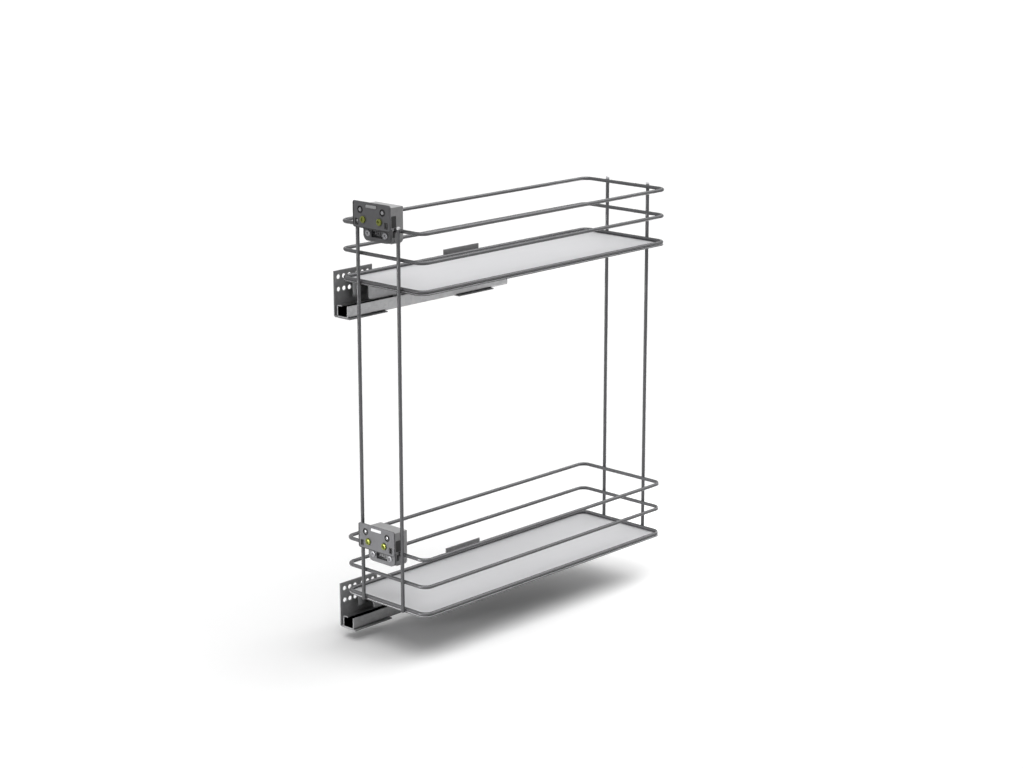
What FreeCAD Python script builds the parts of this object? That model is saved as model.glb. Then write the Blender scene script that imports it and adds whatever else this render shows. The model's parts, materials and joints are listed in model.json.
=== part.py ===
import FreeCAD, Part
import math
import os
from FreeCAD import Vector

# Two-tier pull-out basket for a narrow cabinet, screwed to the cabinet's left side wall.
# Millimetres. X runs from the side wall to the right, +Y into the cabinet, +Z up.
# The origin is on the wall, in the middle of the front screw holes of the lower front bracket.

# Basket wires and shelves
wire_diameter = 5.0
wire_sides = 8
basket_width = 155.0
basket_depth = 485.0
ring_corner_radius = 12.0
ring_pitch = 37.3
tier_pitch = 430.4
shelf_thickness = 1.6
shelf_edge_inset = 0.3
upright_spacing = 75.0
upright_stub = 5.7
upright_foot_drop = 0.9
wall_gap = 7.0

# Wall brackets and their screw holes
bracket_height = 61.3
bracket_thickness = 1.6
bracket_bend_radius = 1.0
bracket_flange_margin = 3.0
hole_diameter = 6.4
hole_pitch = 9.6
hole_row_pitch = 16.6
hole_group_pitch = 33.1
hole_end_margin = 8.0
hole_top_margin = 8.5
rear_bracket_inset = 31.2
bracket_lead = 6.3

# Telescopic runner
rail_side_gap = 5.4
rail_width = 20.5
rail_thickness = 1.6
rail_lip_width = 9.5
rail_length = 303.0
rail_lead = 0.7
middle_thickness = 1.6
middle_setback = 60.0
roller_diameter = 2.0
roller_count = 3
cage_thickness = 1.0
cage_edge_gap = 1.2
inner_cage_inset = 20.0
running_gap = 0.2
side_gap = 0.4
bumper_length = 4.0
travel = 400.0

# Carriage that carries a shelf on the runner
shelf_height = 49.8
carriage_thickness = 1.6
carriage_leg_setback = 20.0
carriage_web_setback = 36.0
carriage_foot_setback = 80.0
carriage_rear = 372.0
carriage_foot_edge = 4.2
carriage_leg_clearance = 6.5
carriage_web_clearance = 2.0
carriage_corner_radius = 3.0
stud_diameter = 4.0
stud_length = 8.0
stud_count = 2
nut_width = 7.0
nut_height = 3.2

# Door bracket on the front wire of each top ring
plate_width = 68.0
plate_height = 34.0
plate_thickness = 2.0
plate_drop = 0.5
plate_corner_radius = 3.0
plate_hole_diameter = 9.5
plate_hole_spacing = 41.0
plate_hole_height = 23.0
plate_slot_spacing = 54.0
plate_slot_width = 4.0
plate_slot_height = 7.0
plate_slot_level = 7.0
door_screw_spacing = 30.0
door_screw_level = 10.5
door_screw_head = 9.0
door_screw_head_height = 2.6
screw_diameter = 5.0
door_adjust = 2.0
housing_left = 22.0
housing_right = 28.0
housing_front = 12.5
housing_top = 29.3
side_recess_depth = 5.0
side_recess_width = 4.6
side_recess_bottom = 3.5
side_recess_top = 16.5
pad_height = 9.0
pad_thickness = 1.4
tab_front = 9.5
tab_thickness = 4.0
tab_drop = 17.5
tab_corner_radius = 8.0
clamp_depth = 10.3
clamp_drop = 19.0
clamp_lip_reach = 1.2
clamp_screw_spacing = 32.0
clamp_screw_drop = 7.5
clamp_screw_head = 8.5
clamp_screw_head_height = 1.6
window_width = 20.0
window_height = 9.0
nose_width = 14.5
nose_height = 5.2
nose_recess = 1.2
nose_gap = 0.5
groove_count = 3
groove_width = 1.2
groove_depth = 0.8
pocket_side = 10.5
channel_drop = 10.0
fit_gap = 0.1
wire_gap = 0.3
head_sides = 12
shank_sides = 8

# Heights, measured up from the underside of a wall bracket
hole_height = bracket_height - hole_top_margin - hole_row_pitch / 2
base_z = -hole_height
rail_bottom = bracket_thickness
rail_floor = rail_bottom + rail_thickness
middle_floor = rail_floor + roller_diameter + 2 * running_gap
foot_floor = middle_floor + middle_thickness + roller_diameter + 2 * running_gap
foot_edge_top = foot_floor + carriage_foot_edge
middle_top = foot_edge_top + side_gap + middle_thickness
rail_top = middle_top + side_gap + rail_thickness
shelf_top = shelf_height + shelf_thickness
rim_level = shelf_top + wire_diameter / 2
middle_ring_level = rim_level + ring_pitch
top_ring_level = middle_ring_level + ring_pitch

# Places across the cabinet
rail_left = bracket_thickness + rail_side_gap
rail_right = rail_left + rail_width
lip_end = rail_left + rail_lip_width
web_middle = (lip_end + rail_right - rail_thickness) / 2
basket_middle = wall_gap + basket_width / 2
shelf_left = wall_gap + shelf_edge_inset

# Places from front to back
bracket_length = 2 * hole_end_margin + 2 * hole_pitch + hole_group_pitch
bracket_front = -hole_end_margin - hole_pitch
ring_front = bracket_front + bracket_lead
ring_back = ring_front + basket_depth - wire_diameter
rail_front = bracket_front - rail_lead
rail_rear = rail_front + rail_length
middle_front = ring_front + middle_setback
rear_bracket_front = rail_rear - rear_bracket_inset - bracket_length
middle_rear = rail_rear - bumper_length - 2 * running_gap
carriage_end = ring_front + carriage_rear


def box(x0, x1, y0, y1, z0, z1):
    return Part.makeBox(x1 - x0, y1 - y0, z1 - z0, Vector(x0, y0, z0))


def cylinder_along_y(x, z, y0, y1, diameter):
    return Part.makeCylinder(diameter / 2, y1 - y0, Vector(x, y0, z), Vector(0, 1, 0))


def flat_sided_points(sides, across_flats):
    """Corners of a regular polygon with a flat on each side of both axes."""
    corner = across_flats / 2 / math.cos(math.pi / sides)
    turns = [2 * math.pi * (i + 0.5) / sides for i in range(sides)]
    return [(corner * math.cos(a), corner * math.sin(a)) for a in turns]


def prism_along_z(x, y, z0, z1, across_flats, sides):
    points = [Vector(x + u, y + v, z0) for u, v in flat_sided_points(sides, across_flats)]
    return Part.Face(Part.makePolygon(points + points[:1])).extrude(Vector(0, 0, z1 - z0))


def prism_along_y(x, z, y0, y1, across_flats, sides):
    points = [Vector(x + u, y0, z + v) for u, v in flat_sided_points(sides, across_flats)]
    return Part.Face(Part.makePolygon(points + points[:1])).extrude(Vector(0, y1 - y0, 0))


def prism_along_x(y, z, x0, x1, across_flats, sides):
    points = [Vector(x0, y + u, z + v) for u, v in flat_sided_points(sides, across_flats)]
    return Part.Face(Part.makePolygon(points + points[:1])).extrude(Vector(x1 - x0, 0, 0))


def rounded_loop(x0, x1, y0, y1, z, radius):
    """A level rectangle with quarter-round corners, starting on its front side."""
    bulge = radius * (1 - math.sqrt(0.5))
    edges = [
        Part.makeLine(Vector(x0 + radius, y0, z), Vector(x1 - radius, y0, z)),
        Part.Arc(Vector(x1 - radius, y0, z), Vector(x1 - bulge, y0 + bulge, z),
                 Vector(x1, y0 + radius, z)).toShape(),
        Part.makeLine(Vector(x1, y0 + radius, z), Vector(x1, y1 - radius, z)),
        Part.Arc(Vector(x1, y1 - radius, z), Vector(x1 - bulge, y1 - bulge, z),
                 Vector(x1 - radius, y1, z)).toShape(),
        Part.makeLine(Vector(x1 - radius, y1, z), Vector(x0 + radius, y1, z)),
        Part.Arc(Vector(x0 + radius, y1, z), Vector(x0 + bulge, y1 - bulge, z),
                 Vector(x0, y1 - radius, z)).toShape(),
        Part.makeLine(Vector(x0, y1 - radius, z), Vector(x0, y0 + radius, z)),
        Part.Arc(Vector(x0, y0 + radius, z), Vector(x0 + bulge, y0 + bulge, z),
                 Vector(x0 + radius, y0, z)).toShape(),
    ]
    return Part.Wire(edges)


def folded_sheet(spine, thickness, y0, y1, bend_radius=0.0):
    """A sheet folded along Y. The spine lists the x, z corners of one side of the sheet,
    and the other side lies one thickness to the left of the way that the spine runs."""
    count = len(spine)
    normals = []
    for i in range(count - 1):
        dx = spine[i + 1][0] - spine[i][0]
        dz = spine[i + 1][1] - spine[i][1]
        run = math.hypot(dx, dz)
        normals.append((-dz / run, dx / run))
    other = []
    for i, (x, z) in enumerate(spine):
        near = normals[max(i - 1, 0)]
        far = normals[min(i, count - 2)]
        spread = 1 + near[0] * far[0] + near[1] * far[1]
        other.append((x + thickness * (near[0] + far[0]) / spread,
                      z + thickness * (near[1] + far[1]) / spread))
    outline = [Vector(x, y0, z) for x, z in spine + other[::-1]]
    sheet = Part.Face(Part.makePolygon(outline + outline[:1])).extrude(Vector(0, y1 - y0, 0))
    if bend_radius == 0:
        return sheet
    for i in range(1, count - 1):
        turn = normals[i - 1][0] * normals[i][1] - normals[i - 1][1] * normals[i][0]
        inner, outer = (other[i], spine[i]) if turn > 0 else (spine[i], other[i])
        for (x, z), radius in ((inner, bend_radius), (outer, bend_radius + thickness)):
            bend = [e for e in sheet.Edges if lies_along_y(e, x, z)]
            sheet = sheet.makeFillet(radius, bend)
    return sheet


def lies_along_y(edge, x, z):
    near = 1e-4
    return all(abs(v.X - x) < near and abs(v.Z - z) < near for v in edge.Vertexes)


def wire_ring(level):
    """One closed ring of basket wire, bent round four corners."""
    x0 = wall_gap + wire_diameter / 2
    x1 = wall_gap + basket_width - wire_diameter / 2
    path = rounded_loop(x0, x1, ring_front, ring_back, level, ring_corner_radius)
    corners = flat_sided_points(wire_sides, wire_diameter)
    start = x0 + ring_corner_radius
    section = [Vector(start, ring_front + u, level + v) for u, v in corners]
    return path.makePipeShell([Part.makePolygon(section + section[:1])], True, False)


def shelf(base):
    x1 = wall_gap + basket_width - shelf_edge_inset
    inset = wire_diameter / 2 - shelf_edge_inset
    outline = rounded_loop(shelf_left, x1, ring_front - inset, ring_back + inset,
                           base + shelf_height, ring_corner_radius + inset)
    return Part.Face(outline).extrude(Vector(0, 0, shelf_thickness))


def upright(side, at_back):
    """A straight wire welded to the outside of all the rings. The side is -1 or 1."""
    x = basket_middle + side * upright_spacing / 2
    y = ring_back + wire_diameter if at_back else ring_front - wire_diameter
    foot = base_z + shelf_top - upright_foot_drop
    top = base_z + tier_pitch + top_ring_level + upright_stub
    return prism_along_z(x, y, foot, top, wire_diameter, wire_sides)


def angle_bracket(base, front, hole_places):
    """A folded angle: a wall plate with screw holes and a flange that carries the rail."""
    flange_end = rail_right + bracket_flange_margin
    spine = [(0, base + bracket_height), (0, base), (flange_end, base)]
    angle = folded_sheet(spine, bracket_thickness, front, front + bracket_length,
                         bracket_bend_radius)
    for y, z in hole_places:
        drill = Part.makeCylinder(hole_diameter / 2, 3 * bracket_thickness,
                                  Vector(-bracket_thickness, y, z), Vector(1, 0, 0))
        angle = angle.cut(drill)
    return angle


def front_hole_places(base):
    rows = [base + hole_height - hole_row_pitch / 2, base + hole_height + hole_row_pitch / 2]
    columns = [group + step * hole_pitch for group in (0, hole_group_pitch) for step in (-1, 0, 1)]
    return [(y, z) for y in columns for z in rows]


def rear_hole_places(base):
    lower_row = base + hole_height - hole_row_pitch / 2
    first = rear_bracket_front + hole_end_margin + hole_pitch
    return [(first + group, lower_row) for group in (0, hole_group_pitch)]


def cabinet_rail(base):
    """The outer rail: a channel with its left side folded over the slot."""
    bottom = base + rail_bottom
    top = base + rail_top
    spine = [(lip_end, top), (rail_left, top), (rail_left, bottom), (rail_right, bottom), (rail_right, top)]
    return folded_sheet(spine, rail_thickness, rail_front, rail_rear)


def middle_rail(base):
    """The rail that slides inside the outer one and doubles the travel."""
    left = rail_left + rail_thickness + side_gap
    right = rail_right - rail_thickness - side_gap
    bottom = base + middle_floor
    spine = [(lip_end - side_gap, base + middle_top), (left, base + middle_top), (left, bottom),
             (right, bottom), (right, base + foot_floor + carriage_thickness)]
    return folded_sheet(spine, middle_thickness, middle_front, middle_rear)


def cage_span(inner):
    """First and last Y of a roller cage that stays between its two rails over the travel."""
    if inner:
        return middle_front + travel / 4 + running_gap, middle_rear - inner_cage_inset
    return rail_front + travel / 4 + running_gap, middle_rear - travel / 4 - running_gap


def cage_place(base, inner):
    """Left side, right side and mid-height of a cage's rollers."""
    if inner:
        left = rail_left + rail_thickness + side_gap + middle_thickness + cage_edge_gap
        right = rail_right - rail_thickness - side_gap - middle_thickness - cage_edge_gap
        return left, right, base + middle_floor + middle_thickness + running_gap + roller_diameter / 2
    left = rail_left + rail_thickness + cage_edge_gap
    right = rail_right - rail_thickness - cage_edge_gap
    return left, right, base + rail_floor + running_gap + roller_diameter / 2


def roller_rows(inner):
    start, end = cage_span(inner)
    step = (end - start) / roller_count
    return [start + (i + 0.5) * step for i in range(roller_count)]


def roller_cage(base, inner):
    """A plastic strip with one pocket for each roller."""
    start, end = cage_span(inner)
    left, right, level = cage_place(base, inner)
    strip = box(left, right, start, end, level - cage_thickness / 2, level + cage_thickness / 2)
    half = roller_diameter / 2 + running_gap
    for y in roller_rows(inner):
        strip = strip.cut(box(left + cage_edge_gap, right - cage_edge_gap, y - half, y + half,
                              level - roller_diameter, level + roller_diameter))
    return strip


def rollers(base, inner):
    left, right, level = cage_place(base, inner)
    ends = cage_edge_gap + running_gap
    return [prism_along_x(y, level, left + ends, right - ends, roller_diameter, shank_sides)
            for y in roller_rows(inner)]


def rail_bumper(base):
    """The rubber stop at the back of the rail, low enough for the carriage to pass over."""
    left = rail_left + rail_thickness + side_gap + middle_thickness
    right = rail_right - rail_thickness - side_gap - middle_thickness
    top = base + foot_floor - side_gap
    front = rail_rear - bumper_length
    block = box(left, right, front, rail_rear, base + rail_floor, top)
    nose = [e for e in block.Edges if abs(e.CenterOfMass.y - front) < 1e-4 * bumper_length]
    return block.makeChamfer(bumper_length / 5, nose)


def carriage_left():
    return shelf_left + fit_gap


def carriage(base):
    """The folded carrier under a shelf: an outer leg, a top flange, a web and a hooked foot."""
    left = carriage_left()
    web_right = web_middle + carriage_thickness / 2
    foot_left = rail_left + rail_thickness + side_gap + middle_thickness + 2 * side_gap
    top = base + shelf_height
    foot = base + foot_floor
    front = ring_front + carriage_leg_setback
    web_front = ring_front + carriage_web_setback
    foot_front = ring_front + carriage_foot_setback
    leg_foot = base + rail_top + carriage_leg_clearance
    web_foot = base + rail_top + carriage_web_clearance
    spine = [(foot_left, base + foot_edge_top), (foot_left, foot), (web_right, foot), (web_right, top),
             (left, top), (left, leg_foot)]
    body = folded_sheet(spine, carriage_thickness, front, carriage_end)
    clear = rail_width
    under = top - carriage_thickness
    body = body.cut(box(left + carriage_thickness, web_right + clear, front - 1, web_front,
                        foot - 1, under))
    body = body.cut(box(left - clear, web_right + clear, front - 1, foot_front, foot - 1, web_foot))
    corner = [e for e in body.Edges if is_web_corner(e, web_front, web_foot)]
    body = body.makeFillet(carriage_corner_radius, corner)
    for y in stud_rows():
        body = body.cut(prism_along_z(stud_middle(), y, under - 1, top + 1,
                                      stud_diameter + 2 * fit_gap, shank_sides))
    return body


def is_web_corner(edge, y, z):
    near = 1e-4
    return all(abs(v.Y - y) < near and abs(v.Z - z) < near for v in edge.Vertexes)


def stud_middle():
    inner_left = carriage_left() + carriage_thickness
    return (inner_left + web_middle - carriage_thickness / 2) / 2


def stud_rows():
    start = ring_front + carriage_web_setback
    step = (carriage_end - start) / stud_count
    return [start + (i + 0.5) * step for i in range(stud_count)]


def carriage_studs(base):
    """Weld studs under the shelf with hexagon nuts that hold the carriage's top flange."""
    x = stud_middle()
    top = base + shelf_height
    under = top - carriage_thickness
    studs = []
    for y in stud_rows():
        stud = prism_along_z(x, y, top - stud_length, top, stud_diameter, shank_sides)
        studs.append(stud.fuse(prism_along_z(x, y, under - nut_height, under, nut_width, 6)))
    return [s.removeSplitter() for s in studs]


def door_plate(level):
    """The steel plate that the cabinet front is screwed to."""
    back = ring_front - housing_front - pad_thickness - fit_gap
    front = back - plate_thickness
    half = plate_width / 2
    bottom = level - plate_drop
    blank = box(basket_middle - half, basket_middle + half, front, back, bottom, bottom + plate_height)
    corners = [e for e in blank.Edges if abs(e.Vertexes[0].Y - e.Vertexes[1].Y) > plate_thickness / 2]
    plate = blank.makeFillet(plate_corner_radius, corners)
    slot_z = level + plate_slot_level
    slot = plate_slot_height / 2
    screw_z = level + door_screw_level
    screw_half = screw_diameter / 2 + fit_gap
    for side in (-1, 1):
        hole_x = basket_middle + side * plate_hole_spacing / 2
        hole = cylinder_along_y(hole_x, level + plate_hole_height, front - 1, back + 1, plate_hole_diameter)
        slot_x = basket_middle + side * plate_slot_spacing / 2
        opening = box(slot_x - plate_slot_width / 2, slot_x + plate_slot_width / 2, front - 1, back + 1,
                      slot_z - slot, slot_z + slot)
        screw_x = basket_middle + side * door_screw_spacing / 2
        track = box(screw_x - screw_half, screw_x + screw_half, front - 1, back + 1,
                    screw_z - screw_half - door_adjust, screw_z + screw_half + door_adjust)
        plate = plate.cut(hole).cut(opening).cut(track)
    return plate


def door_screws(level):
    """The two screws that clamp the door plate, with low round heads."""
    plate_front = ring_front - housing_front - pad_thickness - fit_gap - plate_thickness
    under_head = plate_front - fit_gap
    tip = ring_front - housing_front / 2
    screws = []
    for side in (-1, 1):
        x = basket_middle + side * door_screw_spacing / 2
        z = level + door_screw_level
        crown = under_head - door_screw_head_height
        head = prism_along_y(x, z, crown, under_head, door_screw_head, head_sides)
        rim = [e for e in head.Edges if abs(e.CenterOfMass.y - crown) < 1e-4 * door_screw_head_height]
        head = head.makeChamfer(door_screw_head_height / 3, rim)
        screws.append(head.fuse(prism_along_y(x, z, under_head, tip, screw_diameter, shank_sides)))
    return screws


def bracket_outline(level, y0, y1, drop):
    """The bracket's front view, with its lower corners rounded, carried from y0 to y1."""
    left = basket_middle - housing_left
    right = basket_middle + housing_right
    blank = box(left, right, y0, y1, level - drop, level + housing_top)
    edges = [e for e in blank.Edges if abs(e.CenterOfMass.z - (level - drop)) < 1e-4 * drop
             or abs(e.CenterOfMass.x - left) < 1e-4 or abs(e.CenterOfMass.x - right) < 1e-4]
    corners = [e for e in edges if abs(e.Vertexes[0].Y - e.Vertexes[1].Y) > (y1 - y0) / 2
               and e.CenterOfMass.z < level]
    return blank.makeFillet(tab_corner_radius, corners)


def side_profile(points, level):
    """A slab across the bracket with the given side view: y from the wire's middle, z from it."""
    x0 = basket_middle - housing_left - 1
    x1 = basket_middle + housing_right + 1
    outline = [Vector(x0, ring_front + y, level + z) for y, z in points]
    return Part.Face(Part.makePolygon(outline + outline[:1])).extrude(Vector(x1 - x0, 0, 0))


def bracket_housing(level):
    """The cast front body: a block above the wire, and a tab below it with a wire channel behind."""
    half = wire_diameter / 2 + wire_gap
    tab_back = -tab_front + tab_thickness
    foot_back = -clamp_lip_reach - wire_gap
    points = [(-housing_front, housing_top), (half, housing_top), (half, half), (-half, half),
              (-half, -wire_diameter / 5), (tab_back, -wire_diameter / 5), (tab_back, -channel_drop),
              (foot_back, -channel_drop), (foot_back, -tab_drop), (-tab_front, -tab_drop),
              (-tab_front, half), (-housing_front, half)]
    body = side_profile(points, level)
    body = body.common(bracket_outline(level, ring_front - housing_front, ring_front + half, tab_drop))
    front = ring_front - housing_front
    screw_z = level + door_screw_level
    pad_half = door_screw_spacing / 2 + door_screw_head / 2
    pad = box(basket_middle - pad_half, basket_middle + pad_half, front - pad_thickness, front,
              screw_z - pad_height / 2, screw_z + pad_height / 2)
    body = body.fuse(pad).removeSplitter()
    return cut_housing(body, level, front, tab_back)


def cut_housing(body, level, front, tab_back):
    """Cuts the pockets behind the door holes, the screw holes, the tab's window and the side recesses."""
    half = wire_diameter / 2 + wire_gap
    hole_z = level + plate_hole_height
    side = pocket_side / 2
    for hand in (-1, 1):
        x = basket_middle + hand * plate_hole_spacing / 2
        top = min(hole_z + side, level + housing_top - tab_thickness / 2)
        body = body.cut(box(x - side, x + side, front - 1, ring_front - half, hole_z - side, top))
        x = basket_middle + hand * door_screw_spacing / 2
        body = body.cut(prism_along_y(x, level + door_screw_level, front - pad_thickness - 1,
                                      ring_front - half, screw_diameter + 2 * fit_gap, shank_sides))
        x = bracket_centre() + hand * clamp_screw_spacing / 2
        body = body.cut(prism_along_y(x, level - clamp_screw_drop, ring_front - tab_front - 1,
                                      ring_front, screw_diameter + 2 * fit_gap, shank_sides))
        edge = basket_middle + (housing_right if hand > 0 else -housing_left)
        inner, outer = sorted((edge - hand * side_recess_depth, edge + hand))
        body = body.cut(box(inner, outer, front - 1, front + side_recess_width,
                            level + side_recess_bottom, level + side_recess_top))
    x = bracket_centre()
    z = level - clamp_screw_drop
    return body.cut(box(x - window_width / 2, x + window_width / 2, ring_front - tab_front - 1,
                        ring_front, z - window_height / 2, z + window_height / 2))


def bracket_centre():
    return basket_middle + (housing_right - housing_left) / 2


def bracket_clamp(level):
    """The cast rear body, whose lip holds the wire from below and behind."""
    half = wire_diameter / 2 + wire_gap
    back = half + fit_gap + clamp_depth
    points = [(half + fit_gap, housing_top), (back, housing_top), (back, -clamp_drop),
              (-clamp_lip_reach, -clamp_drop), (-clamp_lip_reach, -half), (half + fit_gap, -half)]
    body = side_profile(points, level)
    body = body.common(bracket_outline(level, ring_front - clamp_lip_reach, ring_front + back, clamp_drop))
    body = body.fuse(clamp_nose(level)).removeSplitter()
    for hand in (-1, 1):
        x = bracket_centre() + hand * clamp_screw_spacing / 2
        body = body.cut(prism_along_y(x, level - clamp_screw_drop, ring_front - clamp_lip_reach - 1,
                                      ring_front + half, screw_diameter + 2 * fit_gap, shank_sides))
    wall = tab_thickness / 2
    hollow = box(bracket_centre() - (housing_left + housing_right) / 2 + wall,
                 bracket_centre() + (housing_left + housing_right) / 2 - wall,
                 ring_front + half + fit_gap + wall, ring_front + back + 1,
                 level + half, level + housing_top - wall)
    return body.cut(hollow)


def clamp_nose(level):
    """The grooved nose of the rear body that comes forward into the tab's window."""
    right = bracket_centre() + window_width / 2 - nose_gap
    top = level - clamp_screw_drop + window_height / 2 - nose_gap
    front = ring_front - tab_front + nose_recess
    nose = box(right - nose_width, right, front, ring_front, top - nose_height, top)
    step = nose_width / (groove_count + 1)
    for i in range(groove_count):
        middle = right - (i + 1) * step
        nose = nose.cut(box(middle - groove_width / 2, middle + groove_width / 2, front - 1,
                            front + groove_depth, top - nose_height - 1, top + 1))
    return nose


def clamp_screws(level):
    """The two screws through the tab that pull the rear body onto the wire."""
    under_head = ring_front - tab_front
    tip = ring_front + wire_diameter / 2
    screws = []
    for hand in (-1, 1):
        x = bracket_centre() + hand * clamp_screw_spacing / 2
        z = level - clamp_screw_drop
        head = prism_along_y(x, z, under_head - clamp_screw_head_height, under_head, clamp_screw_head,
                             head_sides)
        screws.append(head.fuse(prism_along_y(x, z, under_head, tip, screw_diameter, shank_sides)))
    return screws


def write(name, solids):
    shape = solids[0] if len(solids) == 1 else Part.makeCompound(solids)
    shape.exportStep("parts/" + name + ".step")


def write_tier(tier, base):
    level = base + top_ring_level
    write(tier + "_front_bracket", [angle_bracket(base, bracket_front, front_hole_places(base))])
    write(tier + "_rear_bracket", [angle_bracket(base, rear_bracket_front, rear_hole_places(base))])
    write(tier + "_cabinet_rail", [cabinet_rail(base)])
    write(tier + "_rail_bumper", [rail_bumper(base)])
    write(tier + "_middle_rail", [middle_rail(base)])
    write(tier + "_outer_cage", [roller_cage(base, False)])
    write(tier + "_outer_rollers", rollers(base, False))
    write(tier + "_inner_cage", [roller_cage(base, True)])
    write(tier + "_inner_rollers", rollers(base, True))
    write(tier + "_carriage", [carriage(base)])
    write(tier + "_carriage_studs", carriage_studs(base))
    write(tier + "_shelf", [shelf(base)])
    write(tier + "_rim_wire", [wire_ring(base + rim_level)])
    write(tier + "_middle_ring", [wire_ring(base + middle_ring_level)])
    write(tier + "_top_ring", [wire_ring(level)])
    write(tier + "_bracket_housing", [bracket_housing(level)])
    write(tier + "_bracket_clamp", [bracket_clamp(level)])
    write(tier + "_clamp_screws", clamp_screws(level))
    write(tier + "_door_plate", [door_plate(level)])
    write(tier + "_door_screws", door_screws(level))


os.makedirs("parts", exist_ok=True)
write_tier("lower", base_z)
write_tier("upper", base_z + tier_pitch)
for side, hand in ((-1, "left"), (1, "right")):
    write("front_" + hand + "_upright", [upright(side, False)])
    write("rear_" + hand + "_upright", [upright(side, True)])

pulled_out = travel / 2
print("rail and middle rail overlap when open:", middle_rear - pulled_out - rail_front)
print("middle rail and carriage overlap when open:", carriage_end - travel - (middle_front - pulled_out))
print("overall depth:", ring_back + 1.5 * wire_diameter - (ring_front - housing_front - pad_thickness
                                                           - plate_thickness - door_screw_head_height))
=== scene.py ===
import json
import math
import bmesh
import bpy
import numpy as np
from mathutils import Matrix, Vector


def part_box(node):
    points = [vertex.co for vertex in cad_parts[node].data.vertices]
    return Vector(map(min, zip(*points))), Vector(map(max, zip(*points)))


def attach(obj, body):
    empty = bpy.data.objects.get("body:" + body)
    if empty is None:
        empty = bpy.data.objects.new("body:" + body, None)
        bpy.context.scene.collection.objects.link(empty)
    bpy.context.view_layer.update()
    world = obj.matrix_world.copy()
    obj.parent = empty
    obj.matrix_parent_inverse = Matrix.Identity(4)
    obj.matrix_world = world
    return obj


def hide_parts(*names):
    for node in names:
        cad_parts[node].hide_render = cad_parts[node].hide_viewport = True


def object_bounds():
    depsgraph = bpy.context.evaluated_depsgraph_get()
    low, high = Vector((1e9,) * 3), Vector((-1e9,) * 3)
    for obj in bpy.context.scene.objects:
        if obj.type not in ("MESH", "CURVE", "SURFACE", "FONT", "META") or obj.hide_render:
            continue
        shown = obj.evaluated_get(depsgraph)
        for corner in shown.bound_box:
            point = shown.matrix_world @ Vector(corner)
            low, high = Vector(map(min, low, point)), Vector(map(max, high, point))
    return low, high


# The looks of a two-tier pull-out wire basket. Lengths are in metres, X from the
# cabinet side, +Y into the cabinet, +Z up.

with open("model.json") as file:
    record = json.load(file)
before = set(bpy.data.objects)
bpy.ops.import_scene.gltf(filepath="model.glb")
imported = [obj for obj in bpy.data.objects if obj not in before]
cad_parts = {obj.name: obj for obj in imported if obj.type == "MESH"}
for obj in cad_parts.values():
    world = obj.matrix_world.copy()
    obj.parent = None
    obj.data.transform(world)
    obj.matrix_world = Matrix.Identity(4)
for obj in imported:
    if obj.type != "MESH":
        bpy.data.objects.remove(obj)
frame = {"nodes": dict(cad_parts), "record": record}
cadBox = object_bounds()
nodes = frame["nodes"]
tiers = ("lower", "upper")
print("frame loaded:", len(nodes), "nodes")


# Shader maths: a socket whose sums, differences and products are Math nodes
class Shade:
    def __init__(self, tree, socket=None):
        self.tree = tree
        self.socket = socket

    # Adds any node. Settings come first, then the values or links of its sockets
    def node(self, kind, settings=None, sockets=None, out=0, stops=None):
        made = self.tree.nodes.new(kind)
        for key, value in (settings or {}).items():
            setattr(made, key, value)
        for index, (place, shade) in enumerate(stops or ()):
            ramp = made.color_ramp.elements
            stop = ramp[index] if index < 2 else ramp.new(place)
            stop.position = place
            stop.color = (shade, shade, shade, 1)
        for key, value in (sockets or {}).items():
            self.feed(made.inputs[key], value)
        return Shade(self.tree, made.outputs[out]) if made.outputs else None

    # All the outputs of this socket's node
    def outputs(self):
        return {output.name: Shade(self.tree, output) for output in self.socket.node.outputs}

    def feed(self, target, value):
        if isinstance(value, Shade):
            self.tree.links.new(value.socket, target)
        else:
            target.default_value = value

    def maths(self, operation, first, second):
        return self.node("ShaderNodeMath", {"operation": operation}, {0: first, 1: second})

    def __add__(self, other):
        return self.maths("ADD", self, other)

    def __sub__(self, other):
        return self.maths("SUBTRACT", self, other)

    def __rsub__(self, other):
        return self.maths("SUBTRACT", other, self)

    def __mul__(self, other):
        return self.maths("MULTIPLY", self, other)

    __radd__ = __add__
    __rmul__ = __mul__


# A material with a Principled surface, whose constant values are set at once
def newFinish(name, constants):
    material = bpy.data.materials.new(name)
    material.use_nodes = True
    tree = material.node_tree
    surface = next(n for n in tree.nodes if n.type == "BSDF_PRINCIPLED")
    for key, value in constants.items():
        surface.inputs[key].default_value = value
    return material, Shade(tree), surface


# Object coordinates, stretched along the axes to draw grain or streaks
def placed(shade, stretch=(1, 1, 1)):
    coords = shade.node("ShaderNodeTexCoord", out=3)
    return shade.node("ShaderNodeMapping", {}, {"Vector": coords, "Scale": stretch})


# Noise whose cells are about 1 / scale metres wide
def grain(shade, scale, stretch=(1, 1, 1), detail=2.0):
    sockets = {"Vector": placed(shade, stretch), "Scale": scale, "Detail": detail}
    return shade.node("ShaderNodeTexNoise", {}, sockets)


# Two colours, written or linked, mixed by a factor
def blend(shade, factor, first, second):
    first, second = (c if isinstance(c, Shade) else (*c, 1) for c in (first, second))
    return shade.node("ShaderNodeMix", {"data_type": "RGBA"}, {0: factor, 6: first, 7: second}, out=2)


# 0 below the first end and 1 above the second
def contrast(shade, value, ends):
    return shade.node("ShaderNodeValToRGB", {}, {"Fac": value}, stops=((ends[0], 0.0), (ends[1], 1.0)))


# A colour times an amount, no channel over 1
def scaled(colour, amount):
    return tuple(min(1.0, c * amount) for c in colour)


# The look's colour, darker or lighter by its spread as the pattern goes from low to high
def mottled(shade, look, pattern):
    dark, light = (scaled(look["colour"], 1 + way * look["spread"]) for way in (-1, 1))
    return blend(shade, contrast(shade, pattern, mottleEnds), dark, light)


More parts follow.
